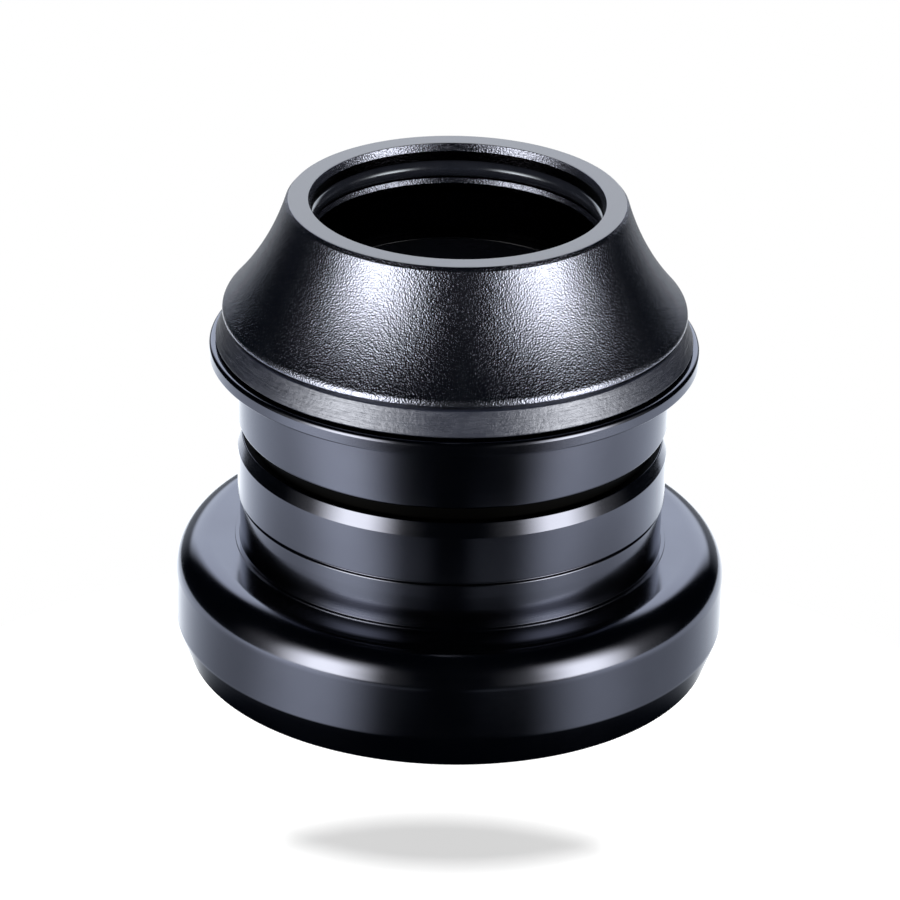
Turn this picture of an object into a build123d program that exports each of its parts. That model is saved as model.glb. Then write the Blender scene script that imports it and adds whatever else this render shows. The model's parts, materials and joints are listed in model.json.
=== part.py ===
"""Bicycle headset for a tapered steerer.

A press-in upper cup with a flared top cover and an external lower cup, each with its angular
contact bearing, stand stacked on the crown race, as they do before they go into a head tube.

Millimetres. +Z runs up the steering axis, and the origin is on that axis at the underside of
the crown race, where the fork crown would be.
"""

import os
from math import acos, atan2, cos, hypot, sin

from build123d import *

os.makedirs("parts", exist_ok=True)

# Fork that the headset carries
steerer_diameter = 28.6
crown_seat_diameter = 39.8

# Upper bearing
upper_bearing_section = 5.65
upper_bearing_height = 8.0
upper_bearing_bevel = 1.2
upper_ball_count = 18

# Lower bearing
lower_bearing_section = 6.0
lower_bearing_height = 7.0
lower_bearing_bevel = 1.6
lower_ball_count = 22

# Inside of both bearings
ball_diameter = 3.175
race_gap = 1.55
bearing_seal_thickness = 0.5
bearing_seal_recess = 0.3
bearing_seal_ledge = 0.35

# Running and seating clearances
steerer_clearance = 0.03
ring_race_clearance = 0.10
crown_race_clearance = 0.10
bearing_clearance = 0.04
seat_clearance = 0.02
ball_clearance = 0.08
cage_clearance = 0.30
cage_end_clearance = 0.30
seal_lip_clearance = 0.15
shelf_clearance = 0.70

# Crown race and its seal
crown_flange_thickness = 2.0
crown_flange_inset = 1.04
crown_bearing_gap = 0.9
crown_cone_top_wall = 0.7
crown_cone_foot = 0.6
crown_seal_groove_depth = 0.7
crown_seal_groove_height = 0.9
crown_seal_groove_lift = 0.5
crown_seal_lip_rise = 0.4
crown_seal_mouth_clearance = 0.2

# Lower cup
rim_wall = 2.36
rim_fillet = 3.6
rim_fillet_share = 0.9
rim_taper_height = 3.7
lip_wall = 0.96
lip_clearance = 0.5
lower_floor = 2.5
base_step_overhang = 0.25
base_step_height = 0.12
neck_relief = 0.23
neck_height = 4.78
neck_foot_flare = 0.15
neck_foot_height = 1.0
groove_height = 0.4
groove_depth = 0.3
lower_land_height = 5.0
lower_lead_in_height = 1.5
lower_lead_in_inset = 0.42
lower_skirt_wall = 1.75

# Upper cup
upper_cup_wall = 1.11
upper_floor = 2.0
upper_ledge = 0.42
upper_pilot_height = 1.7
upper_pilot_inset = 1.15
upper_flange_overhang = 2.95
upper_flange_thickness = 1.45
upper_flange_rise = 0.2
upper_edge_break = 0.2
upper_top_edge = 0.3

# Compression ring
ring_collar_wall = 0.82
ring_collar_length = 1.1
ring_cone_overhang = 0.25
ring_slot = 1.6

# Dust seal under the cover
dust_seal_inset = 0.55
dust_seal_running_gap = 0.35
dust_seal_height = 2.55
dust_seal_taper = 0.95
dust_seal_width = 2.05
dust_seal_bead_depth = 0.4
dust_seal_bead_height = 0.8

# Top cover
cover_height = 12.05
cover_seal_groove = 0.45
cover_overhang = 0.20
cover_edge_chamfer = 0.10
cover_land_height = 0.05
cover_shoulder_radius = 0.9
cover_flare_radius = 29.5
cover_top_wall = 2.75
cover_top_bevel = 0.3
cover_bore_clearance = 0.25
cover_bore_chamfer = 0.62
cover_relief = 1.05
cover_lip = 0.9
cover_lip_chamfer = 0.3
cover_neck_wall = 1.5
cover_neck_running_gap = 0.5
cover_ceiling_rise = 0.45
cover_seat_rise = 1.85
cover_ring_clearance = 0.2

# Steerer O-ring in the cover
o_ring_section = 1.78
o_ring_steerer_clearance = 0.06
o_ring_groove_clearance = 0.01
o_ring_groove_play = 0.22
o_ring_depth = 2.7

# Radii, from the steerer outwards
steerer_r = steerer_diameter / 2
ring_bore_r = steerer_r + steerer_clearance
ring_collar_r = ring_bore_r + ring_collar_wall
upper_bore_r = ring_collar_r + ring_race_clearance
upper_outside_r = upper_bore_r + upper_bearing_section
upper_pocket_r = upper_outside_r + bearing_clearance
press_r = upper_pocket_r + upper_cup_wall
upper_flange_r = press_r + upper_flange_overhang
ring_outside_r = upper_bore_r + upper_bearing_bevel + ring_cone_overhang

# Radii, from the crown seat outwards
crown_bore_r = crown_seat_diameter / 2
lower_bore_r = crown_bore_r + crown_race_clearance
lower_outside_r = lower_bore_r + lower_bearing_section
lower_pocket_r = lower_outside_r + bearing_clearance
rim_r = lower_pocket_r + rim_wall
crown_flange_r = lower_pocket_r - crown_flange_inset
lower_skirt_bore_r = press_r - lower_skirt_wall
neck_r = press_r - neck_relief
base_step_r = press_r + base_step_overhang

# Heights, from the crown race up
lower_bearing_bottom = crown_flange_thickness + crown_bearing_gap
lower_bearing_top = lower_bearing_bottom + lower_bearing_height
lower_shelf_z = lower_bearing_top + shelf_clearance
lower_flange_top = lower_shelf_z + lower_floor
neck_bottom = lower_flange_top + base_step_height
groove_bottom = neck_bottom + neck_height
lower_land_bottom = groove_bottom + groove_height
lower_land_top = lower_land_bottom + lower_land_height
cups_meet = lower_land_top + lower_lead_in_height
upper_bearing_bottom = cups_meet + upper_floor
upper_bearing_top = upper_bearing_bottom + upper_bearing_height
upper_shelf_z = upper_bearing_bottom - shelf_clearance
upper_flange_top = upper_bearing_top + upper_flange_rise
upper_flange_bottom = upper_flange_top - upper_flange_thickness
dust_seal_bottom = upper_flange_top + dust_seal_running_gap
dust_seal_top = dust_seal_bottom + dust_seal_height
cover_bottom = dust_seal_top + cover_seal_groove
cover_top = cover_bottom + cover_height
cover_seat = cover_bottom + cover_seat_rise

# The dust seal sits under the flange's edge, and the cover's neck fills it
dust_seal_bottom_r = upper_flange_r - dust_seal_inset
dust_seal_top_r = dust_seal_bottom_r - dust_seal_taper
cover_neck_r = dust_seal_bottom_r - dust_seal_width
cover_bottom_r = dust_seal_top_r + cover_overhang

# Ball circles and the races' shoulders
ball_r = ball_diameter / 2
upper_pitch_r = (upper_bore_r + upper_outside_r) / 2
lower_pitch_r = (lower_bore_r + lower_outside_r) / 2
seal_zone = bearing_seal_recess + bearing_seal_thickness


def turned(points):
    """One ring, turned about the steering axis from the corners of its section."""
    with BuildPart() as ring:
        with BuildSketch(Plane.XZ):
            with BuildLine():
                Polyline(*points, close=True)
            make_face()
        revolve(axis=Axis.Z)
    return ring.part


def race(points, pitch_r, ball_z):
    """A bearing race: a turned ring with the ball groove cut into it."""
    with BuildPart() as ring:
        with BuildSketch(Plane.XZ):
            with BuildLine():
                Polyline(*points, close=True)
            make_face()
            with Locations((pitch_r, ball_z)):
                Circle(ball_r + ball_clearance, mode=Mode.SUBTRACT)
        revolve(axis=Axis.Z)
    return ring.part


def outer_race(outside_r, pitch_r, seat_z, height, bevel, up):
    """Outer race. Its bevel rests in the cup at seat_z, and up says which way the race rises."""
    shoulder_r = pitch_r + race_gap / 2
    ledge_r = shoulder_r + bearing_seal_ledge
    section = [
        (outside_r - bevel, 0),
        (outside_r, bevel),
        (outside_r, height),
        (ledge_r, height),
        (ledge_r, height - seal_zone),
        (shoulder_r, height - seal_zone),
        (shoulder_r, seal_zone),
        (ledge_r, seal_zone),
        (ledge_r, 0),
    ]
    return race([(r, seat_z + up * s) for r, s in section], pitch_r, seat_z + up * height / 2)


def inner_race(bore_r, pitch_r, seat_z, height, bevel, up):
    """Inner race. Its bevel is at the far end from seat_z, where a cone bears on it."""
    shoulder_r = pitch_r - race_gap / 2
    section = [
        (bore_r, 0),
        (shoulder_r, 0),
        (shoulder_r, height),
        (bore_r + bevel, height),
        (bore_r, height - bevel),
    ]
    return race([(r, seat_z + up * s) for r, s in section], pitch_r, seat_z + up * height / 2)


def bearing_seal(pitch_r, ledge_z, outward):
    """Flat rubber seal on the outer race's ledge, its lip just clear of the inner race."""
    lip_r = pitch_r - race_gap / 2 + seal_lip_clearance
    rim = pitch_r + race_gap / 2 + bearing_seal_ledge - seat_clearance
    face_z = ledge_z + outward * bearing_seal_thickness
    return turned([(lip_r, ledge_z), (rim, ledge_z), (rim, face_z), (lip_r, face_z)])


def balls(pitch_r, ball_z, count):
    """The ring of balls, one solid each."""
    with BuildPart() as ring:
        with Locations(Plane.XY.offset(ball_z)):
            with PolarLocations(pitch_r, count):
                Sphere(ball_r)
    return ring.part


def cage(pitch_r, ball_z, height, count):
    """The band between the races, with a round pocket for each ball."""
    inside_r = pitch_r - race_gap / 2 + cage_clearance
    outside_r = pitch_r + race_gap / 2 - cage_clearance
    band = height - 2 * (seal_zone + cage_end_clearance)
    with BuildPart() as ring:
        with BuildSketch(Plane.XY.offset(ball_z - band / 2)):
            Circle(outside_r)
            Circle(inside_r, mode=Mode.SUBTRACT)
        extrude(amount=band)
        with Locations(Plane.XY.offset(ball_z)):
            with PolarLocations(pitch_r, count):
                Cylinder(ball_r + ball_clearance, race_gap, rotation=(0, 90, 0), mode=Mode.SUBTRACT)
    return ring.part


def save(part, label):
    """Label a finished piece and write it to its own file."""
    part.label = label
    export_step(part, f"parts/{label}.step")


# Lower cup: tapered lip, filleted rim, waisted press-in skirt and the 45 degree bearing seat
rim_top_flat = rim_r - base_step_r
rim_round = min(rim_fillet, rim_fillet_share * rim_top_flat)
lower_seat_sum = lower_outside_r - lower_bearing_bevel + lower_bearing_top + seat_clearance
with BuildPart() as lower_cup:
    with BuildSketch(Plane.XZ):
        with BuildLine():
            Polyline(
                (lower_pocket_r, lip_clearance),
                (lower_pocket_r + lip_wall, lip_clearance),
                (rim_r, lip_clearance + rim_taper_height),
                (rim_r, lower_flange_top - rim_round),
            )
            RadiusArc(
                (rim_r, lower_flange_top - rim_round),
                (rim_r - rim_round, lower_flange_top),
                -rim_round,
            )
            Polyline(
                (rim_r - rim_round, lower_flange_top),
                (base_step_r, lower_flange_top),
                (base_step_r, neck_bottom),
                (neck_r + neck_foot_flare, neck_bottom),
                (neck_r, neck_bottom + neck_foot_height),
                (neck_r, groove_bottom),
                (neck_r - groove_depth, groove_bottom),
                (neck_r - groove_depth, lower_land_bottom),
                (press_r, lower_land_bottom),
                (press_r, lower_land_top),
                (press_r - lower_lead_in_inset, cups_meet),
                (lower_skirt_bore_r, cups_meet),
                (lower_skirt_bore_r, lower_shelf_z),
                (lower_seat_sum - lower_shelf_z, lower_shelf_z),
                (lower_pocket_r, lower_seat_sum - lower_pocket_r),
                (lower_pocket_r, lip_clearance),
            )
        make_face()
    revolve(axis=Axis.Z)
save(lower_cup.part, "lower_cup")

# Upper cup: thin flange, press-in skirt, a narrower pilot that finds the tube first and, inside, the
# 45 degree bearing seat
upper_seat_gap = upper_outside_r - upper_bearing_bevel - upper_bearing_bottom + seat_clearance
upper_shelf_r = upper_shelf_z + upper_seat_gap
upper_cup_bore_r = upper_shelf_r - upper_ledge
upper_pilot_r = press_r - upper_pilot_inset
upper_pilot_top = cups_meet + upper_pilot_height
upper_cup = turned(
    [
        (upper_cup_bore_r, cups_meet),
        (upper_pilot_r, cups_meet),
        (upper_pilot_r, upper_pilot_top),
        (press_r, upper_pilot_top),
        (press_r, upper_flange_bottom),
        (upper_flange_r - upper_edge_break, upper_flange_bottom),
        (upper_flange_r, upper_flange_bottom + upper_edge_break),
        (upper_flange_r, upper_flange_top - upper_top_edge),
        (upper_flange_r - upper_top_edge, upper_flange_top),
        (upper_pocket_r + upper_edge_break, upper_flange_top),
        (upper_pocket_r, upper_flange_top - upper_edge_break),
        (upper_pocket_r, upper_pocket_r - upper_seat_gap),
        (upper_shelf_r, upper_shelf_z),
        (upper_cup_bore_r, upper_shelf_z),
    ]
)
save(upper_cup, "upper_cup")

# Upper bearing, seated on its lower end
upper_ball_z = upper_bearing_bottom + upper_bearing_height / 2
upper_size = (upper_bearing_bottom, upper_bearing_height, upper_bearing_bevel, 1)
save(outer_race(upper_outside_r, upper_pitch_r, *upper_size), "upper_outer_race")
save(inner_race(upper_bore_r, upper_pitch_r, *upper_size), "upper_inner_race")
save(balls(upper_pitch_r, upper_ball_z, upper_ball_count), "upper_balls")
save(cage(upper_pitch_r, upper_ball_z, upper_bearing_height, upper_ball_count), "upper_ball_cage")
save(bearing_seal(upper_pitch_r, upper_bearing_top - seal_zone, 1), "upper_bearing_top_seal")
save(bearing_seal(upper_pitch_r, upper_bearing_bottom + seal_zone, -1), "upper_bearing_bottom_seal")

# Lower bearing, turned over so that it seats on its upper end
lower_ball_z = lower_bearing_bottom + lower_bearing_height / 2
lower_size = (lower_bearing_top, lower_bearing_height, lower_bearing_bevel, -1)
save(outer_race(lower_outside_r, lower_pitch_r, *lower_size), "lower_outer_race")
save(inner_race(lower_bore_r, lower_pitch_r, *lower_size), "lower_inner_race")
save(balls(lower_pitch_r, lower_ball_z, lower_ball_count), "lower_balls")
save(cage(lower_pitch_r, lower_ball_z, lower_bearing_height, lower_ball_count), "lower_ball_cage")
save(bearing_seal(lower_pitch_r, lower_bearing_top - seal_zone, 1), "lower_bearing_top_seal")
save(bearing_seal(lower_pitch_r, lower_bearing_bottom + seal_zone, -1), "lower_bearing_bottom_seal")

# Crown race: flange on the fork crown and a 45 degree cone in the lower inner race
crown_cone_sum = lower_bore_r + lower_bearing_bevel + lower_bearing_bottom - seat_clearance
crown_cone_top_r = crown_bore_r + crown_cone_top_wall
crown_cone_foot_r = lower_bore_r + lower_bearing_bevel + crown_cone_foot
crown_groove_r = crown_flange_r - crown_seal_groove_depth
crown_groove_bottom = crown_seal_groove_lift
crown_groove_top = crown_groove_bottom + crown_seal_groove_height
crown_race = turned(
    [
        (crown_bore_r, 0),
        (crown_flange_r, 0),
        (crown_flange_r, crown_groove_bottom),
        (crown_groove_r, crown_groove_bottom),
        (crown_groove_r, crown_groove_top),
        (crown_flange_r, crown_groove_top),
        (crown_flange_r, crown_flange_thickness),
        (crown_cone_foot_r, crown_flange_thickness),
        (crown_cone_foot_r, crown_cone_sum - crown_cone_foot_r),
        (crown_cone_top_r, crown_cone_sum - crown_cone_top_r),
        (crown_bore_r, crown_cone_sum - crown_cone_top_r),
    ]
)
save(crown_race, "crown_race")

# Crown race seal: a rubber ring in the flange's groove, its lip turned up inside the cup's mouth
crown_lip_r = lower_pocket_r - crown_seal_mouth_clearance
crown_seal = turned(
    [
        (crown_groove_r, crown_groove_bottom + seat_clearance),
        (crown_flange_r, crown_groove_bottom + seat_clearance),
        (crown_lip_r, crown_groove_bottom + crown_seal_lip_rise),
        (crown_lip_r, crown_groove_top + crown_seal_lip_rise),
        (crown_flange_r, crown_groove_top - seat_clearance),
        (crown_groove_r, crown_groove_top - seat_clearance),
    ]
)
save(crown_seal, "crown_race_seal")

# Compression ring: a split ring whose cone wedges between the steerer and the upper inner race
ring_cone_gap = upper_bore_r + upper_bearing_bevel - upper_bearing_top - seat_clearance
ring_cone_bottom = ring_collar_r - ring_cone_gap
ring_bottom = ring_cone_bottom - ring_collar_length
with BuildPart() as compression_ring:
    with BuildSketch(Plane.XZ):
        with BuildLine():
            Polyline(
                (ring_bore_r, ring_bottom),
                (ring_collar_r, ring_bottom),
                (ring_collar_r, ring_cone_bottom),
                (ring_outside_r, ring_outside_r - ring_cone_gap),
                (ring_outside_r, cover_seat),
                (ring_bore_r, cover_seat),
                close=True,
            )
        make_face()
    revolve(axis=Axis.Z)
    with BuildSketch(Plane.XY.offset(ring_bottom)):
        with Locations((0, -ring_outside_r)):
            Rectangle(ring_slot, 2 * ring_outside_r - ring_bore_r)
    extrude(amount=cover_seat - ring_bottom, mode=Mode.SUBTRACT)
save(compression_ring.part, "compression_ring")

# Dust seal: a rubber wedge ring on the cover's neck, held by a bead in the neck's groove
bead_bottom = dust_seal_bottom + (dust_seal_height - dust_seal_bead_height) / 2
bead_top = bead_bottom + dust_seal_bead_height
bead_r = cover_neck_r - dust_seal_bead_depth
dust_seal = turned(
    [
        (cover_neck_r, dust_seal_bottom),
        (dust_seal_bottom_r, dust_seal_bottom),
        (dust_seal_top_r, dust_seal_top),
        (cover_neck_r, dust_seal_top),
        (cover_neck_r, bead_top),
        (bead_r, bead_top),
        (bead_r, bead_bottom),
        (cover_neck_r, bead_bottom),
    ]
)
save(dust_seal, "cover_dust_seal")

# Top cover: its side is a short land, a convex shoulder and the long concave flare, all tangent
cover_bore_r = steerer_r + cover_bore_clearance
cover_top_r = cover_bore_r + cover_top_wall
flare_top = (cover_top_r, cover_top - cover_top_bevel)
shoulder_z = cover_bottom + cover_edge_chamfer + cover_land_height
shoulder_centre_r = cover_bottom_r - cover_shoulder_radius
reach = hypot(flare_top[0] - shoulder_centre_r, flare_top[1] - shoulder_z)
both_radii = cover_shoulder_radius + cover_flare_radius
opening = acos((reach**2 + both_radii**2 - cover_flare_radius**2) / (2 * reach * both_radii))
shoulder_turn = atan2(flare_top[1] - shoulder_z, flare_top[0] - shoulder_centre_r) - opening
shoulder_end = (
    shoulder_centre_r + cover_shoulder_radius * cos(shoulder_turn),
    shoulder_z + cover_shoulder_radius * sin(shoulder_turn),
)
cover_neck_bottom = upper_flange_top + cover_neck_running_gap
cover_neck_bore_r = cover_neck_r - cover_neck_wall
cover_ceiling = cover_bottom + cover_ceiling_rise
cover_recess_r = ring_outside_r + cover_ring_clearance
cover_relief_r = cover_bore_r + cover_relief
o_ring_r = steerer_r + o_ring_steerer_clearance + o_ring_section / 2
o_ring_z = cover_top - o_ring_depth
o_ring_groove_r = o_ring_r + o_ring_section / 2 + o_ring_groove_clearance
o_ring_groove_half = (o_ring_section + o_ring_groove_play) / 2
cover_lip_bottom = o_ring_z - o_ring_groove_half - cover_lip
with BuildPart() as top_cover:
    with BuildSketch(Plane.XZ):
        with BuildLine():
            Polyline(
                (cover_neck_bore_r, cover_neck_bottom),
                (cover_neck_r, cover_neck_bottom),
                (cover_neck_r, bead_bottom),
                (bead_r, bead_bottom),
                (bead_r, bead_top),
                (cover_neck_r, bead_top),
                (cover_neck_r, cover_bottom),
                (cover_bottom_r - cover_edge_chamfer, cover_bottom),
                (cover_bottom_r, cover_bottom + cover_edge_chamfer),
                (cover_bottom_r, shoulder_z),
            )
            RadiusArc((cover_bottom_r, shoulder_z), shoulder_end, -cover_shoulder_radius)
            RadiusArc(shoulder_end, flare_top, cover_flare_radius)
            Polyline(
                flare_top,
                (cover_top_r - cover_top_bevel, cover_top),
                (cover_bore_r + cover_bore_chamfer, cover_top),
                (cover_bore_r, cover_top - cover_bore_chamfer),
                (cover_bore_r, o_ring_z + o_ring_groove_half),
                (o_ring_groove_r, o_ring_z + o_ring_groove_half),
                (o_ring_groove_r, o_ring_z - o_ring_groove_half),
                (cover_bore_r + cover_lip_chamfer, o_ring_z - o_ring_groove_half),
                (cover_bore_r, o_ring_z - o_ring_groove_half - cover_lip_chamfer),
                (cover_bore_r, cover_lip_bottom),
                (cover_relief_r, cover_lip_bottom - cover_relief),
                (cover_relief_r, cover_seat),
                (cover_recess_r, cover_seat),
                (cover_recess_r, cover_ceiling),
                (cover_neck_bore_r, cover_ceiling),
                (cover_neck_bore_r, cover_neck_bottom),
            )
        make_face()
    revolve(axis=Axis.Z)
save(top_cover.part, "top_cover")

# O-ring: wipes the steerer just below the cover's top
with BuildPart() as o_ring:
    with BuildSketch(Plane.XZ):
        with Locations((o_ring_r, o_ring_z)):
            Circle(o_ring_section / 2)
    revolve(axis=Axis.Z)
save(o_ring.part, "steerer_o_ring")
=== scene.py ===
# %% [markdown]
# A headset lets a bicycle's fork turn in its frame. This one hovers over a white table, stacked: a lower
# cup with a wide rim, an upper cup, a rubber dust seal and a flared top cover with an O-ring inside.
# Every piece is turned on a lathe or moulded round, so one idea makes all the new ones: a section
# carried round an axis. The imported model is loaded first as the fixed frame, in metres.

# %% Load the frame
import json
from math import acos, atan2, cos, degrees, hypot, pi, radians, sin, tan

import bpy
import numpy as np
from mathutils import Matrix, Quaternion, Vector


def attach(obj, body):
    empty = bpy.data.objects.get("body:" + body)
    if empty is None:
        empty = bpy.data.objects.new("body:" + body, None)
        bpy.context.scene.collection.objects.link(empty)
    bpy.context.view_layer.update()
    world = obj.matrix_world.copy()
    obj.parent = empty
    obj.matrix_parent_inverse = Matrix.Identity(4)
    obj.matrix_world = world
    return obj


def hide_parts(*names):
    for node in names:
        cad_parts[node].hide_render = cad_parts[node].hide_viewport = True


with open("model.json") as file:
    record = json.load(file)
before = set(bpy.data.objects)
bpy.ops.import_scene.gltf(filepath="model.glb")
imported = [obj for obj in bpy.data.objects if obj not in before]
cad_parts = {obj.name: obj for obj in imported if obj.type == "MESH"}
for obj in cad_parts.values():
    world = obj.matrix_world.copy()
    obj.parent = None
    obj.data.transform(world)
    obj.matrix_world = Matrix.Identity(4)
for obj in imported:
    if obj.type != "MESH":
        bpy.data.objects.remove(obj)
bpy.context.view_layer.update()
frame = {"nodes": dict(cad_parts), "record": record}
scene = bpy.context.scene

# %% [markdown]
# A turned part never has a perfectly sharp edge: the tool or a file leaves a small round, and on black
# gloss that round is what catches the light as a fine bright line. A Bevel modifier could add it, but
# it treats every edge alike. Here each corner of a section states its own round, so a big fillet and a
# broken edge come from the same few lines. Beside each round, a support point keeps smooth shading
# from leaking over the flat next to it.

# %% Rounded sections
SUPPORT = 0.03
SAG = 0.003
FEWEST_STEPS = 3
SAME_POINT = 1e-5


def eased(corners):
    """Section with rounded corners. Each corner is (radius from the axis, height, round), in mm.

    The round touches both edges at the distance round * tan(half the turn) from the corner. Its
    points are centre + round * (cos, sin) of an angle that sweeps through the turn, in steps whose
    chords leave the arc by SAG at most. A support point stands SUPPORT away from the round, or a
    third of the flat where that is less.
    """
    table = np.array(corners, float)
    corner, size = table[:, :2], table[:, 2]
    leaving = np.roll(corner, -1, axis=0) - corner
    length = np.hypot(*leaving.T)
    leaving = leaving / length[:, None]
    coming = np.roll(leaving, 1, axis=0)
    turn = np.arctan2(
        coming[:, 0] * leaving[:, 1] - coming[:, 1] * leaving[:, 0],
        (coming * leaving).sum(axis=1),
    )
    reach = size * np.tan(abs(turn) / 2)
    spare = np.maximum(length - reach - np.roll(reach, -1), 0)
    after = np.minimum(SUPPORT, spare / 3)
    before = np.roll(after, 1)
    start = corner - coming * reach[:, None]
    inward = np.stack([-coming[:, 1], coming[:, 0]], axis=1) * np.sign(turn)[:, None]
    centre = start + inward * size[:, None]
    first = np.arctan2(*(start - centre).T[::-1])
    bend = 2 * np.arccos(1 - SAG / size)
    steps = np.maximum(np.ceil(abs(turn) / bend), FEWEST_STEPS).astype(int)
    runs = []
    for i, count in enumerate(steps):
        angle = first[i] + turn[i] * np.linspace(0, 1, count + 1)
        arc = centre[i] + size[i] * np.stack([np.cos(angle), np.sin(angle)], axis=1)
        runs += [arc[:1] - coming[i] * before[i], arc, arc[-1:] + leaving[i] * after[i]]
    points = np.concatenate(runs)
    step = np.hypot(*(points - np.roll(points, 1, axis=0)).T)
    return points[step > SAME_POINT]


square = eased([(1, 0, 0.1), (2, 0, 0.1), (2, 1, 0.1), (1, 1, 0.1)])
print("A square section with four broken edges has", len(square), "points")

# %% [markdown]
# The section then goes round the axis. Blender's Screw modifier or a bmesh spin would do it, and so
# does one array: every section point at every angle. The array is chosen because it closes the turn
# without doubled points and gives the split ring as well: the same surface over a little less than a
# full turn, with its two ends closed by the section itself.

# %% Carry a section round the axis
MM = 0.001
AROUND = 256
new_pieces = []


def swept(section, angle):
    """Points (r cos a, r sin a, z) for each section point (r, z) and each angle a round the axis."""
    radius, height = section[:, :1], section[:, 1:]
    return np.stack([radius * np.cos(angle), radius * np.sin(angle), height + 0 * angle], axis=2)


def turned_piece(name, corners, body, slot, node, slit=0.0):
    """A closed section, in mm, carried round the axis from -90 degrees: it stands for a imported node.

    With a slit, the turn starts and ends asin(slit / 2r) away from there, so that the two end faces
    are parallel.
    """
    section = eased(corners) * MM
    rows = len(section)
    columns = AROUND + 1 if slit else AROUND
    share = np.arange(columns) / AROUND
    half = np.arcsin(slit * MM / 2 / section[:, :1])
    points = swept(section, -pi / 2 + half + (2 * pi - 2 * half) * share)
    row, column = np.meshgrid(np.arange(rows), np.arange(AROUND), indexing="ij")
    here, over = row * columns, (row + 1) % rows * columns
    beside = (column + 1) % columns
    quads = np.stack([here + column, here + beside, over + beside, over + column], axis=2)
    faces = quads.reshape(-1, 4).tolist()
    if slit:
        ends = np.arange(rows) * columns
        faces += [ends.tolist(), (ends + columns - 1)[::-1].tolist()]
    mesh = bpy.data.meshes.new(name)
    mesh.from_pydata(points.reshape(-1, 3), [], faces)
    mesh.polygons.foreach_set("use_smooth", [len(face) == 4 for face in faces])
    mesh.update()
    piece = bpy.data.objects.new(name, mesh)
    scene.collection.objects.link(piece)
    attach(piece, body)
    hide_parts(node)
    new_pieces.append((piece, slot))
    print(name, "has", len(faces), "faces from", rows, "section points")


# %% [markdown]
# The lower cup stands under the head tube. From the bottom up: a tapered lip, a tall rim with a large
# fillet, the flat that the tube rests on, a hairline step, a waisted neck, a fine groove, the land that
# is pressed into the tube and a lead-in. Inside are the bearing pocket and its 45 degree seat. The
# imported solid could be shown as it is, but its facets and plain edges would show in the gloss, so a
# section follows it corner by corner and adds the rounds.

# %% Lower cup
turned_piece(
    "lower_cup_turned",
    [
        (26.04, 0.50, 0.10), (27.00, 0.50, 0.15), (28.40, 4.20, 1.20), (28.40, 13.10, 3.60),
        (22.30, 13.10, 0.03), (22.30, 13.22, 0.05), (21.87, 13.22, 0.03), (21.78, 14.00, 5.00),
        (21.82, 16.60, 9.00), (21.82, 18.00, 0.15), (21.52, 18.00, 0.05), (21.52, 18.40, 0.05),
        (22.05, 18.40, 0.06), (22.05, 23.40, 0.12), (21.63, 24.90, 0.10), (20.30, 24.90, 0.10),
        (20.30, 10.60, 0.10), (23.72, 10.60, 0.10), (26.04, 8.28, 0.10),
    ],
    "cups", "gloss_black", "lower_cup",
)

# %% [markdown]
# The upper cup drops into the top of the tube. Its thin flange stays outside, its skirt is pressed in,
# and a narrower pilot at the foot finds the tube first and leaves a black gap over the lower cup. It
# could take one bevel all over, but the flange's top edge is rounded by some 0.4 mm, which draws the
# bright line along it, while its other edges are nearly sharp. So it too is a section with rounds.

# %% Upper cup
turned_piece(
    "upper_cup_turned",
    [
        (18.60, 24.90, 0.10), (20.90, 24.90, 0.08), (20.90, 26.60, 0.05), (22.05, 26.60, 0.28),
        (22.05, 33.65, 0.08), (25.00, 33.65, 0.20), (25.00, 35.20, 0.42), (20.94, 35.20, 0.25),
        (20.94, 28.12, 0.10), (19.02, 26.20, 0.10), (18.60, 26.20, 0.08),
    ],
    "cups", "gloss_black", "upper_cup",
)

# %% [markdown]
# The dust seal is a rubber wedge that turns with the cover just above the flange. A bead inside it sits
# in a groove of the cover's neck. Moulded rubber has softer edges than turned metal. Subdivision could
# soften them, but it would also shrink the bead in its groove, and stated rounds don't.

# %% Dust seal
turned_piece(
    "dust_seal_moulded",
    [
        (22.40, 35.45, 0.08), (24.45, 35.45, 0.20), (23.50, 38.00, 0.15), (22.40, 38.00, 0.08),
        (22.40, 37.125, 0.05), (22.00, 37.125, 0.05), (22.00, 36.325, 0.05), (22.40, 36.325, 0.05),
    ],
    "upper_steering", "seal_rubber", "cover_dust_seal",
)

# %% [markdown]
# The top cover's side is a short land, a convex shoulder and a long concave flare, each tangent to the
# next. A curve drawn by eye could give it, but a kink of a degree shows in the light, so the arcs are
# worked out. Two circles that touch have their centres one sum of radii apart, so the triangle of the
# shoulder's centre, the flare's centre and the flare's top edge gives the shoulder's turn by the cosine
# rule. Each arc then becomes one rounded corner, where its end tangents meet. The rounds are a touch
# smaller than the arcs, which leaves room for the support points.

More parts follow.
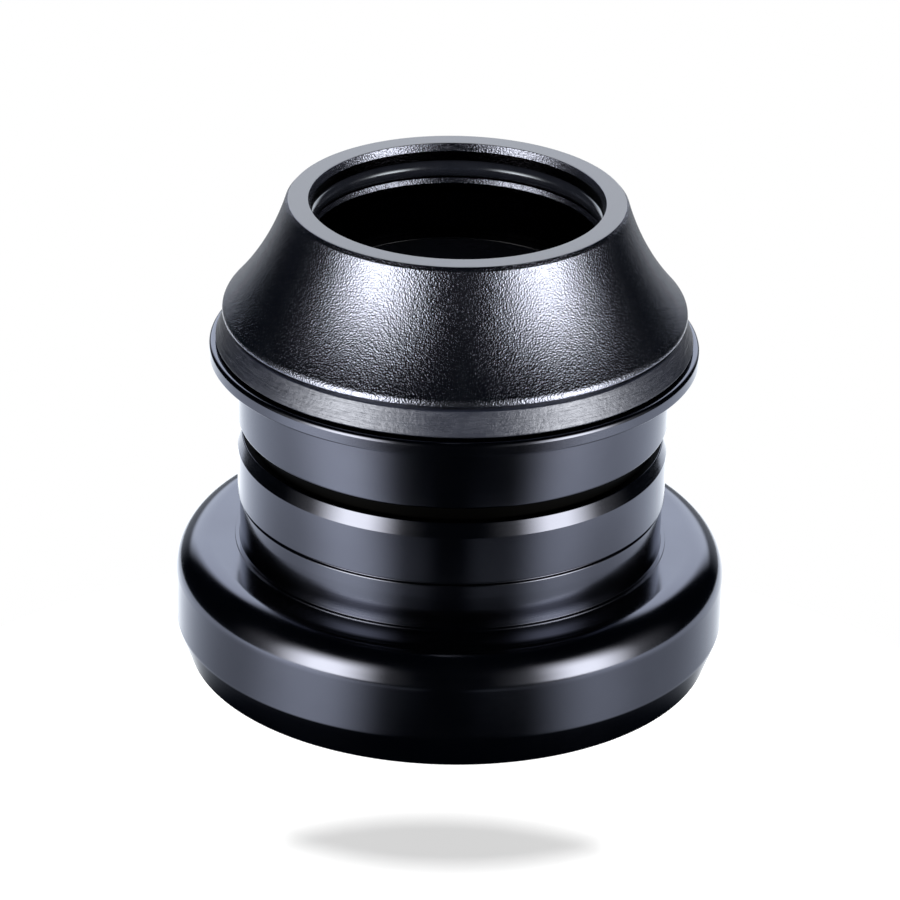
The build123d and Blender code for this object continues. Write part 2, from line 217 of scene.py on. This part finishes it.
# %% The cover's two arcs
SHOULDER = (22.80, 38.60)
SHOULDER_ROUND = 0.9
FLARE_ROUND = 29.5
FLARE_TOP = (17.40, 50.18)
both_rounds = SHOULDER_ROUND + FLARE_ROUND
to_top = (FLARE_TOP[0] - SHOULDER[0], FLARE_TOP[1] - SHOULDER[1])
reach = hypot(*to_top)
opening = acos((reach**2 + both_rounds**2 - FLARE_ROUND**2) / (2 * reach * both_rounds))
shoulder_turn = atan2(to_top[1], to_top[0]) - opening
flare_centre = (
    SHOULDER[0] + both_rounds * cos(shoulder_turn),
    SHOULDER[1] + both_rounds * sin(shoulder_turn),
)
top_side = atan2(FLARE_TOP[1] - flare_centre[1], FLARE_TOP[0] - flare_centre[0]) % (2 * pi)
flare_reach = FLARE_ROUND * tan((shoulder_turn + pi - top_side) / 2)
shoulder_corner = (
    SHOULDER[0] + SHOULDER_ROUND,
    SHOULDER[1] + SHOULDER_ROUND * tan(shoulder_turn / 2),
    SHOULDER_ROUND * 0.98,
)
flare_corner = (
    SHOULDER[0] + SHOULDER_ROUND * cos(shoulder_turn) - flare_reach * sin(shoulder_turn),
    SHOULDER[1] + SHOULDER_ROUND * sin(shoulder_turn) + flare_reach * cos(shoulder_turn),
    FLARE_ROUND * 0.99,
)
print("The shoulder turns", round(degrees(shoulder_turn), 1), "degrees into the flare")

# %% [markdown]
# The rest of the cover is straight cuts: the neck with the seal's groove, the flat underside, the top
# face, the mouth of the bore with its steep edge, the O-ring's groove, a second steep edge under it, and
# the wider bore with the compression ring's recess. A boolean cut could make a groove, but in a section
# it is four more corners.

# %% Top cover
turned_piece(
    "top_cover_blasted",
    [
        (20.90, 35.60, 0.10), (22.40, 35.60, 0.10), (22.40, 36.325, 0.05), (22.00, 36.325, 0.05),
        (22.00, 37.125, 0.05), (22.40, 37.125, 0.05), (22.40, 38.45, 0.05), (23.60, 38.45, 0.05),
        (23.70, 38.55, 0.04), shoulder_corner, flare_corner, (*FLARE_TOP, 0.06),
        (17.06, 50.58, 0.06), (15.08, 50.58, 0.05), (14.78, 49.82, 0.05), (14.70, 48.80, 0.05),
        (16.15, 48.80, 0.05), (16.15, 46.84, 0.05), (14.77, 46.84, 0.05), (14.57, 46.34, 0.05),
        (14.55, 45.90, 0.05), (15.60, 44.85, 0.06), (15.60, 40.30, 0.05), (16.90, 40.30, 0.05),
        (16.90, 38.90, 0.05), (20.90, 38.90, 0.05),
    ],
    "upper_steering", "blasted_black", "top_cover",
)

# %% [markdown]
# The O-ring wipes the steerer inside the cover. Blender's torus would do, but the helper that makes the
# other pieces makes this one too: its round section is a square whose corners are rounded until next to
# nothing of the sides is left.

# %% O-ring
O_RING_RADIUS = 15.25
O_RING_HEIGHT = 47.80
O_RING_HALF = 0.89
O_RING_ROUND = O_RING_HALF * 0.998
turned_piece(
    "o_ring_moulded",
    [
        (O_RING_RADIUS + across * O_RING_HALF, O_RING_HEIGHT + up * O_RING_HALF, O_RING_ROUND)
        for across, up in ((-1, -1), (1, -1), (1, 1), (-1, 1))
    ],
    "upper_steering", "o_ring_rubber", "steerer_o_ring",
)

# %% [markdown]
# The compression ring is split so that its cone can close on the steerer. The crown race sits at the
# very bottom, on the fork, and carries a rubber seal whose lip stands inside the lower cup's mouth.
# They are hardly seen from the front and could stay as packed, but from above and below their edges
# catch the light as the cups' do, so they get sections of their own.

# %% Rings at the top and the bottom
turned_piece(
    "compression_ring_split",
    [
        (14.33, 32.52, 0.08), (15.15, 32.52, 0.08), (15.15, 33.62, 0.08), (16.70, 35.17, 0.08),
        (16.70, 40.30, 0.10), (14.33, 40.30, 0.15),
    ],
    "upper_steering", "ring_black", "compression_ring", slit=1.6,
)
turned_piece(
    "crown_race_turned",
    [
        (19.90, 0.00, 0.15), (25.00, 0.00, 0.12), (25.00, 0.50, 0.05), (24.30, 0.50, 0.05),
        (24.30, 1.40, 0.05), (25.00, 1.40, 0.05), (25.00, 2.00, 0.12), (22.20, 2.00, 0.08),
        (22.20, 2.28, 0.08), (20.60, 3.88, 0.08), (19.90, 3.88, 0.08),
    ],
    "lower_steering", "ring_black", "crown_race",
)
turned_piece(
    "crown_seal_moulded",
    [
        (24.30, 0.52, 0.04), (25.00, 0.52, 0.06), (25.84, 0.90, 0.10), (25.84, 1.80, 0.05),
        (25.00, 1.38, 0.06), (24.30, 1.38, 0.04),
    ],
    "lower_steering", "seal_rubber", "crown_race_seal",
)

# %% [markdown]
# Finishes are node trees. Wiring them by hand takes a line for each link, so small classes write them
# as sums instead. A Signal is one socket, and an operator between it and a number or another Signal
# adds a Math node.

# %% Signals
class Signal:
    """One socket of a node tree. Operators on it add Math nodes."""

    def __init__(self, tree, socket):
        self.tree = tree
        self.socket = socket

    def __add__(self, other):
        return self.tree.math("ADD", self, other)

    def __sub__(self, other):
        return self.tree.math("SUBTRACT", self, other)

    def __rsub__(self, other):
        return self.tree.math("SUBTRACT", other, self)

    def __mul__(self, other):
        return self.tree.math("MULTIPLY", self, other)

    def __truediv__(self, other):
        return self.tree.math("DIVIDE", self, other)

    def __rtruediv__(self, other):
        return self.tree.math("DIVIDE", other, self)

    def __pow__(self, other):
        return self.tree.math("POWER", self, other)

    def __rpow__(self, other):
        return self.tree.math("POWER", other, self)

    __radd__ = __add__
    __rmul__ = __mul__


# %% [markdown]
# Every other node comes from one method, node(), which takes the node's type, its settings and what
# goes into its sockets: a Signal is linked, and anything else is set as the socket's own value.

# %% Node trees
class Tree:
    """The node tree of a material or a world, filled from code."""

    def __init__(self, owner):
        owner.use_nodes = True
        self.owner = owner
        self.tree = owner.node_tree
        self.tree.nodes.clear()

    def node(self, kind, settings=None, inputs=None, output=0):
        """A node of that type: settings first, then the values or links of its sockets.

        It gives back the signal of one output, or a list of signals where output is a tuple.
        """
        made = self.tree.nodes.new("ShaderNode" + kind)
        for name, value in (settings or {}).items():
            setattr(made, name, value)
        for name, value in (inputs or {}).items():
            if isinstance(value, Signal):
                self.tree.links.new(value.socket, made.inputs[name])
            else:
                made.inputs[name].default_value = value
        if isinstance(output, tuple):
            return [Signal(self, made.outputs[name]) for name in output]
        return Signal(self, made.outputs[output])

    def math(self, operation, left, right=0.0):
        """The Math node that works out left operation right, or the operation on left alone."""
        return self.node("Math", {"operation": operation}, {0: left, 1: right})

    def close(self, shader):
        """Ends the tree in that shader."""
        kind = "OutputWorld" if isinstance(self.owner, bpy.types.World) else "OutputMaterial"
        self.node(kind, inputs={"Surface": shader}, output=())
        print(self.owner.name, "has", len(self.tree.nodes), "nodes")


# %% [markdown]
# The finishes share a few sums: noise, a soft step, a soft band, a mix of two colours, the distance
# from the axis and a bump. A node group could hold each of them, but a method is shorter and leaves
# plain nodes that the export can bake.

# %% Sums that finishes share
finishes = {}


class Finish(Tree):
    """A material's tree with the sums that finishes share."""

    def noise(self, where, scale, detail=2.0, roughness=0.5):
        """Soft noise from 0 to 1, scale to the metre."""
        sockets = {"Vector": where, "Scale": scale, "Detail": detail, "Roughness": roughness}
        return self.node("TexNoise", inputs=sockets)

    def between(self, value, low, high, start=0.0, end=1.0):
        """start below low, end above high, and an S-curve between them."""
        sockets = {"Value": value, "From Min": low, "From Max": high, "To Min": start, "To Max": end}
        return self.node("MapRange", {"interpolation_type": "SMOOTHSTEP"}, sockets)

    def bell(self, value, low, rise, fall, high):
        """1 from rise to fall, and down to 0 at low and high."""
        return self.between(value, low, rise) * (1 - self.between(value, fall, high))

    def tint(self, share, dark, light):
        """The colour that is dark where share is 0 and light where it is 1."""
        first, second = [shade if isinstance(shade, Signal) else (*shade, 1) for shade in (dark, light)]
        return self.node("Mix", {"data_type": "RGBA"}, {0: share, 6: first, 7: second}, output=2)

    def polar(self, where):
        """The x, y and z of a place and its distance from the axis, the root of x * x + y * y."""
        x, y, z = self.node("SeparateXYZ", inputs={"Vector": where}, output=("X", "Y", "Z"))
        return x, y, z, (x * x + y * y) ** 0.5

    def bump(self, height, depth):
        """Normal of a surface that rises by height * depth, in metres."""
        return self.node("Bump", inputs={"Height": height, "Distance": depth, "Strength": 1.0})

    def surface(self, **sockets):
        """Ends the tree in a Principled shader. Words in a socket's name are joined by _."""
        named = {name.replace("_", " "): value for name, value in sockets.items()}
        self.close(self.node("BsdfPrincipled", inputs=named))


def new_finish(name, slot=None):
    """An empty material tree and its Object coordinates. A slot's finish is kept under the slot."""
    tree = Finish(bpy.data.materials.new(name))
    if slot:
        finishes[slot] = tree.owner
    return tree, tree.node("TexCoord", output="Object")


# %% [markdown]
# A lathe tool leaves marks that run round the piece. They depend on the height and the distance from
# the axis alone, so their coordinate is height + radius, which moves along any section, upright, flat
# or sloping. A slow drift of the direction round the axis breaks the lines into long strokes. The angle
# would give the drift too, but it jumps where the turn ends, and the unit direction leaves no seam.

# %% Marks that run round
def round_marks(tree, where, lines, strokes):
    """Noise that is fine along the section (lines to the metre) and slow round the axis (strokes)."""
    x, y, z, radius = tree.polar(where)
    drift = tree.node(
        "CombineXYZ",
        inputs={"X": x / radius * strokes, "Y": y / radius * strokes, "Z": (z + radius) * lines},
    )
    return tree.noise(drift, 1.0, detail=3.0, roughness=0.6)


# %% [markdown]
# The cups are black anodised aluminium with a gloss: a dark mirror. Black plastic under a coat would
# look alike from the front, but a dark metal is chosen, because its reflection rises at a grazing angle
# towards the specular tint, as the pale outlines of the real one do. Faint lathe strokes and finger
# smudges move the roughness a little. The pilot between the two cups, and the face it stands on, are
# made rougher and painted near-black, as painted shade of the gap. Two soft steps, in metres, say
# where that is.

# %% Gloss black
MOST_NOISE = (0.3, 0.7)
HEAVY_SMUDGE = (0.45, 0.8)
PILOT_WALL = (0.02150, 0.02160)
PILOT_SPAN = (0.02486, 0.02490, 0.02658, 0.02662)
PAINTED_SHADE_BLACK = (0.002, 0.002, 0.002)
tree, where = new_finish("gloss_black_anodised", "gloss_black")
strokes = round_marks(tree, where, lines=5200.0, strokes=2.2)
smudge = tree.noise(where, 90.0, detail=3.0)
height, radius = tree.polar(where)[2:]
inside = 1 - tree.between(radius, *PILOT_WALL)
# Painted shade: near-black colour on the pilot and the face below it, where the gap between the cups
# lies in shade
painted_shade_mask = inside * tree.bell(height, *PILOT_SPAN)
cloudy = tree.between(smudge, *MOST_NOISE)
polished = tree.tint(cloudy, dark=(0.080, 0.085, 0.110), light=(0.088, 0.094, 0.121))
tree.surface(
    Base_Color=tree.tint(painted_shade_mask, polished, PAINTED_SHADE_BLACK),
    Metallic=1.0,
    Roughness=0.10 + strokes * 0.06 + tree.between(smudge, *HEAVY_SMUDGE) * 0.05 + painted_shade_mask * 0.4,
    Specular_Tint=(0.80, 0.82, 0.86, 1),
    Normal=tree.bump(strokes, depth=0.000002),
)

# %% [markdown]
# The cover is bead-blasted before it is anodised. Glass beads leave round dimples of about a fifth of a
# millimetre that overlap at random, and their tilted walls glint. Real dimples would take millions of
# faces, so cell noise gives them, finer noise roughens them, and both go into the bump. The top face is
# skimmed flat afterwards, so the grain fades out there. Inside the bore, apart from its two edges, the
# colour is painted near-black, as painted shade.

# %% Blasted black
SKIM = (0.05054, 0.05057)
BORE_WALL = (0.0164, 0.0166)
BORE_MOUTH = (0.04978, 0.04984)
BORE_EDGE = (0.04632, 0.04636, 0.04684, 0.04690)
SKIMMED_BLACK = (0.093, 0.098, 0.115)
BORE_PAINTED_SHADE = (0.006, 0.006, 0.008)
tree, where = new_finish("blasted_black_anodised", "blasted_black")
dimples = tree.node(
    "TexVoronoi", {"feature": "SMOOTH_F1"}, {"Vector": where, "Scale": 5200.0, "Smoothness": 0.4}
)
grit = tree.noise(where, 7000.0, detail=2.0, roughness=0.6)
cloudy = tree.between(tree.noise(where, 160.0), *MOST_NOISE)
height, radius = tree.polar(where)[2:]
skimmed = tree.between(height, *SKIM)
grain = (dimples + grit) * (1 - skimmed)
blasted = tree.tint(cloudy, dark=(0.172, 0.184, 0.240), light=(0.196, 0.210, 0.272))
inside = (1 - tree.between(radius, *BORE_WALL)) * (1 - tree.between(height, *BORE_MOUTH))
# Painted shade: the bore, apart from its two edges, is coloured near-black where it lies in shade
painted_shade_mask = inside * (1 - tree.bell(height, *BORE_EDGE))
tree.surface(
    Base_Color=tree.tint(painted_shade_mask, tree.tint(skimmed, blasted, SKIMMED_BLACK), BORE_PAINTED_SHADE),
    Metallic=1.0,
    Roughness=0.15 + grit * 0.10 + skimmed * 0.15,
    Normal=tree.bump(grain, depth=0.00003),
)

# %% [markdown]
# Moulded rubber is matte and a little greasy, with flow marks that run round the mould and a mottle
# from dust and handling. A flat dark grey would pass from afar, but here the marks and the mottle move
# the roughness, so the sheen breaks up as it does on the real one. The index of refraction is set above
# rubber's own, because this seal's sheen is stronger than that would give. The O-ring is the same
# rubber from a polished mould.

# %% Rubber
tree, where = new_finish("seal_rubber_moulded", "seal_rubber")
flow = round_marks(tree, where, lines=5500.0, strokes=6.0)
mottle = tree.noise(where, 1500.0, detail=4.0, roughness=0.7)
tree.surface(
    Base_Color=tree.tint(mottle, dark=(0.004, 0.005, 0.010), light=(0.012, 0.014, 0.024)),
    Roughness=0.10 + mottle * 0.28 + flow * 0.26,
    IOR=2.15,
    Specular_Tint=(0.78, 0.83, 1.0, 1),
    Normal=tree.bump(flow + mottle, depth=0.00005),
)
tree, where = new_finish("o_ring_rubber_smooth", "o_ring_rubber")
bloom = tree.noise(where, 700.0, detail=3.0)
tree.surface(
    Base_Color=tree.tint(bloom, dark=(0.006, 0.007, 0.010), light=(0.014, 0.015, 0.020)),
    Roughness=0.13 + bloom * 0.10,
    IOR=1.9,
    Specular_Tint=(0.77, 0.85, 1.0, 1),
)

# %% [markdown]
# The compression ring and the crown race are black too, but satin. The bearings keep their packed
# shapes: ground steel races with fine marks round them, polished balls with the faintest haze, and
# cages of natural nylon. They are hidden and could be plain, but a part is taken apart and looked at
# from inside, so each gets a pattern that moves its colour and its roughness.

# %% Rings and bearings
tree, where = new_finish("ring_black_satin", "ring_black")
turning = round_marks(tree, where, lines=4300.0, strokes=1.6)
tree.surface(
    Base_Color=tree.tint(turning, dark=(0.050, 0.052, 0.060), light=(0.072, 0.074, 0.084)),
    Metallic=1.0,
    Roughness=0.22 + turning * 0.14,
    Normal=tree.bump(turning, depth=0.000003),
)
tree, where = new_finish("bearing_steel_ground", "bearing_steel")
ground = round_marks(tree, where, lines=9000.0, strokes=1.2)
tree.surface(
    Base_Color=tree.tint(ground, dark=(0.50, 0.50, 0.51), light=(0.60, 0.60, 0.61)),
    Metallic=1.0,
    Roughness=0.16 + ground * 0.16,
    Normal=tree.bump(ground, depth=0.000002),
)
tree, where = new_finish("ball_steel_polished", "ball_steel")
haze = tree.noise(where, 1500.0)
tree.surface(
    Base_Color=tree.tint(haze, dark=(0.66, 0.66, 0.67), light=(0.74, 0.74, 0.75)),
    Metallic=1.0,
    Roughness=0.04 + haze * 0.06,
)
tree, where = new_finish("cage_nylon_moulded", "cage_nylon")
milky = tree.noise(where, 600.0, detail=3.0)
tree.surface(
    Base_Color=tree.tint(milky, dark=(0.54, 0.52, 0.44), light=(0.66, 0.64, 0.56)),
    Roughness=0.40 + milky * 0.15,
    Normal=tree.bump(milky, depth=0.00001),
)

# %% [markdown]
# Each new piece takes its finish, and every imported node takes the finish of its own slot, so nothing
# is left in plain grey, not even the hidden bearings. The record names the slots, so no list of nodes
# has to be kept here.

# %% Put the finishes on
for piece, slot in new_pieces:
    piece.data.materials.append(finishes[slot])
for subpart in frame["record"]["subparts"]:
    node = frame["nodes"][subpart["node"]]
    for holder in node.material_slots:
        holder.material = finishes[subpart["material_slot"]]
    print(node.name, "wears", subpart["material_slot"])

# %% [markdown]
# The photograph looks down at about 25 degrees from just over half a metre away with a long lens, a
# touch rolled, so that the top leans to the right. A Track To constraint could aim the camera, but a
# plain rotation leaves it free for other views. The roll is a turn about its own line of sight.

# %% Camera
EYE = Vector((0.0, -487.3, 255.5)) * MM
AIM = Vector((-0.20, 0.0, 22.6)) * MM
ROLL = radians(1.26)
lens = bpy.data.cameras.new("camera")
lens.lens = 209.6
lens.sensor_width = 36.0
lens.clip_end = 20.0
camera = bpy.data.objects.new("camera", lens)
camera.location = EYE
camera.rotation_mode = "QUATERNION"
camera.rotation_quaternion = (AIM - EYE).to_track_quat("-Z", "Y") @ Quaternion((0, 0, 1), ROLL)
scene.collection.objects.link(camera)
scene.camera = camera
print("The camera stands", round((EYE - AIM).length, 3), "m from its aim")

# %% [markdown]
# The stage is round as well: a table, and later a cloth and a dome. Blender's own disc and sphere would
# do, but the sweep is here already, and an open section makes all three.

# %% Stage shells
AROUND_STAGE = 96
DISC_ROWS = 16
NEXT_TO_AXIS = 0.00001


def stage_shell(name, section):
    """An open section carried round the axis, as part of the stage. Its faces look up or inwards."""
    grid = swept(section, np.linspace(0, 2 * pi, AROUND_STAGE + 1)[None, :])
    rows, columns = grid.shape[:2]
    row, column = np.meshgrid(np.arange(rows - 1), np.arange(columns - 1), indexing="ij")
    corner = (row * columns + column).ravel()
    quads = np.stack([corner, corner + columns, corner + columns + 1, corner + 1], axis=1)
    mesh = bpy.data.meshes.new(name)
    mesh.from_pydata(grid.reshape(-1, 3), [], quads.tolist())
    shell = bpy.data.objects.new(name, mesh)
    scene.collection.objects.link(shell)
    print(name, "has", len(quads), "faces")
    return shell


def flat_disc(edge, height):
    """Section of a flat disc: points from next to the axis out to its edge, all at one height."""
    radius = np.linspace(NEXT_TO_AXIS, edge, DISC_ROWS)
    return np.column_stack([radius, np.full_like(radius, height)])


# %% [markdown]
# The headset hovers over a round white table. More light would make the table white, but it would
# over-light the headset. So the table is white by its own colour and partly by a glow that only the
# camera sees: it reads as a white page and still takes a shadow. From below it is clear, so that the
# headset's underside can be seen. The room round it is the same white.

# %% Table and room
TABLE_Z = -0.0239
TABLE_EDGE = 0.07
TABLE_WHITE = (0.9, 0.9, 0.9, 1)
WHITE = (1, 1, 1, 1)
GLOW = 2.32
GLOW_SHARE = 0.24
ROOM_LIGHT = 0.3
table = stage_shell("table", flat_disc(TABLE_EDGE, TABLE_Z))
tree = Tree(bpy.data.materials.new("white_table"))
lit = tree.node("BsdfDiffuse", inputs={"Color": TABLE_WHITE})
glow = tree.node("Emission", inputs={"Color": WHITE, "Strength": GLOW})
camera_ray = tree.node("LightPath", output="Is Camera Ray")
page_side = tree.node("MixShader", inputs={0: camera_ray * GLOW_SHARE, 1: lit, 2: glow})
from_below = tree.node("NewGeometry", output="Backfacing")
clear = tree.node("BsdfTransparent")
tree.close(tree.node("MixShader", inputs={0: from_below, 1: page_side, 2: clear}))
table.data.materials.append(tree.owner)

world = bpy.data.worlds.new("white_room")
scene.world = world
tree = Tree(world)
camera_ray, glossy_ray, through_ray = tree.node(
    "LightPath", output=("Is Camera Ray", "Is Glossy Ray", "Is Transmission Ray")
)
room = tree.node("Background", inputs={"Color": WHITE, "Strength": ROOM_LIGHT})
page = tree.node("Background", inputs={"Color": WHITE, "Strength": 1.0})
tree.close(tree.node("MixShader", inputs={0: camera_ray + glossy_ray + through_ray, 1: room, 2: page}))

# %% [markdown]
# The shadow in the photograph is a thin lens. One lamp can't cast it, since a shadow is at least as
# wide as the headset. Two can: one stands high in front and one high behind, and each lights what the
# other leaves dark, except for a narrow strip right under the headset, which neither reaches. The
# power comes from the level that each gives the table: level = power * sin(slope) / (pi * distance),
# with the divisor squared. Reflections don't see the lamps, because the painted set is made for them.

# %% Lamps
LAMP_AWAY = 0.15
LAMP_SLOPE = radians(47.4)
LAMP_SIDE = 0.019
LAMP_LEVEL = 0.60
lamp_distance = LAMP_AWAY / cos(LAMP_SLOPE)
for name, side in (("lamp_front", -1), ("lamp_behind", 1)):
    lamp = bpy.data.lights.new(name, "AREA")
    lamp.size = LAMP_SIDE
    lamp.energy = LAMP_LEVEL * (pi * lamp_distance) ** 2 / sin(LAMP_SLOPE)
    stand = bpy.data.objects.new(name, lamp)
    stand.location = (0, side * LAMP_AWAY, TABLE_Z + LAMP_AWAY * tan(LAMP_SLOPE))
    aim = Vector((0, 0, TABLE_Z)) - stand.location
    stand.rotation_euler = aim.to_track_quat("-Z", "Y").to_euler()
    stand.visible_camera = False
    stand.visible_glossy = False
    scene.collection.objects.link(stand)
    print(name, "has", round(lamp.energy, 2), "W")

# %% [markdown]
# Black gloss is all reflection, so its look is made by what stands round it: two softboxes with soft
# edges at the left and the right, a pale wall behind, a table that is brightest below the softboxes,
# and black everywhere else. Area lamps could be the softboxes, but their edges are hard in a mirror. So
# the set is painted on a dome and on a cloth over the table, which only reflections see. The softboxes
# are a little warm and what is left dark is a deep blue, as in the photograph.

# %% Dome, cloth and paint
DOME = 0.42
DOME_END = 88
DOME_ROWS = 60
CLOTH_EDGE = 0.175
CLOTH_LIFT = 0.0006
PEAK = 9.7
DARK = 0.010
BOX_COLOUR = (1.0, 0.965, 0.87, 1)
TABLE_COLOUR = (0.97, 1.0, 1.03, 1)
DARK_COLOUR = (0.30, 0.55, 1.0, 1)
DEGREES = 180 / pi
arch = np.radians(np.linspace(-DOME_END, DOME_END, DOME_ROWS))
cloth = stage_shell("cloth", flat_disc(CLOTH_EDGE, TABLE_Z + CLOTH_LIFT))
dome = stage_shell("dome", np.column_stack([DOME * np.cos(arch), DOME * np.sin(arch)]))


def turn_round(tree, x, y):
    """Turn round the headset in degrees: the angle of (x, -y), 0 at the front, more to the right."""
    return tree.math("ARCTAN2", x, y * -1) * DEGREES


def paint(tree, lights, shell):
    """Paints a shell, for reflections only: nearly black, and PEAK of a colour where its share is 1."""
    shader = tree.node("Emission", inputs={"Color": DARK_COLOUR, "Strength": DARK})
    for share, colour in lights:
        light = tree.node("Emission", inputs={"Color": colour, "Strength": PEAK})
        shader = tree.node("MixShader", inputs={0: share, 1: shader, 2: light})
    tree.close(shader)
    shell.data.materials.append(tree.owner)
    shell.visible_camera = False
    shell.visible_diffuse = False
    shell.visible_transmission = False
    shell.visible_shadow = False


# %% [markdown]
# The dome carries the softboxes and the wall. Their places are angles: the turn round the headset and
# the lift above its middle, so that no edge has to be modelled. A softbox is a bright core inside a wide
# and faint spill, and it fades towards its top. The wall has a bright band and a weaker foot.

# %% Paint the dome
MIDDLE_Z = 0.02
RIGHT_SHARE = 0.97
BOX_TOP = (10, 42)
BACK = (138, 152)
WALL = (4, 12, 38, 50)
WALL_FOOT = (-22, -12, 2, 12)
FOOT_SHARE = 0.16
WALL_SHARE = 0.285


def softbox(tree, side, core, spill, spill_share):
    """A softbox over the turn to its side: the core's bell and a share of the spill's."""
    return tree.bell(side, *core) + tree.bell(side, *spill) * spill_share


tree, where = new_finish("painted_dome")
x, y, z, away = tree.polar(where)
turn = turn_round(tree, x, y)
lift = tree.math("ARCTAN2", z - MIDDLE_Z, away) * DEGREES
left_box = softbox(tree, turn * -1, core=(23, 46, 49, 75), spill=(10, 48, 55, 95), spill_share=0.08)
right_box = softbox(tree, turn, core=(32, 54, 56, 82), spill=(15, 55, 60, 105), spill_share=0.09)
boxes = (left_box + right_box * RIGHT_SHARE) * (1 - tree.between(lift, *BOX_TOP))
back = tree.between(tree.math("ABSOLUTE", turn), *BACK)
wall = back * (tree.bell(lift, *WALL) + tree.bell(lift, *WALL_FOOT) * FOOT_SHARE) * WALL_SHARE
paint(tree, [(boxes, BOX_COLOUR), (wall, TABLE_COLOUR)], dome)

# %% [markdown]
# Upright walls seen from above mirror the table, so most of the light on the cups is painted on the
# cloth, by the turn and by the distance from the axis. Each softbox leaves a wide glow that grows
# outwards and a bright band below it. Further out, both are pushed round towards the back. Two faint
# patches lie in front, the cloth behind is pale, and all of it fades away under the headset. A lit
# cloth could do this with real lamps, but paint puts each reflection where the photograph has it.

# %% Paint the cloth
OUTER_SWING = (0.105, 0.140, 1.0, 0.83)
OUTER_GLOW = (0.085, 0.130, 1.25, 1.8)
PATCH_TURN = (4, 16, 24, 40)
PATCH_AWAY = (0.088, 0.100, 0.112, 0.126)
PATCH_LEVEL = 0.14
BEHIND_TURN = (85, 145)
BEHIND_AWAY = (0.09, 0.13, 1.7, 0.50)
BEHIND_SIDES = (-60, 60, 1.0, 0.65)
UNDER_HEADSET = (0.039, 0.054)
INNER_FADE = (0.077, 0.114, 0.78, 0.97)


def lit_side(tree, swing, far, glow, glow_level, band, band_level):
    """Light of one softbox on the cloth: a soft step over the swing, times far, and the band's bell."""
    return tree.between(swing, *glow) * far * glow_level + tree.bell(swing, *band) * band_level


tree, where = new_finish("painted_cloth")
x, y, _, away = tree.polar(where)
turn = turn_round(tree, x, y)
swing = turn * tree.between(away, *OUTER_SWING)
far = tree.between(away, *OUTER_GLOW)
left_side = lit_side(
    tree, swing * -1, far, glow=(12, 60), glow_level=0.70, band=(20, 44, 48, 82), band_level=1.35
)
right_side = lit_side(
    tree, swing, far, glow=(24, 56), glow_level=0.75, band=(30, 52, 56, 80), band_level=0.45
)
aside = tree.math("ABSOLUTE", turn)
patch = tree.bell(aside, *PATCH_TURN) * tree.bell(away, *PATCH_AWAY) * PATCH_LEVEL
behind = tree.between(aside, *BEHIND_TURN) * tree.between(away, *BEHIND_AWAY)
behind = behind * tree.between(turn, *BEHIND_SIDES)
fade = tree.between(away, *UNDER_HEADSET) * tree.between(away, *INNER_FADE)
level = (left_side + right_side + patch + behind) * fade
paint(tree, [(level / PEAK, TABLE_COLOUR)], cloth)

# %% [markdown]
# The last step sets the plain view transform, in which a colour shows as it is written.

# %% View transform
scene.view_settings.view_transform = "Standard"
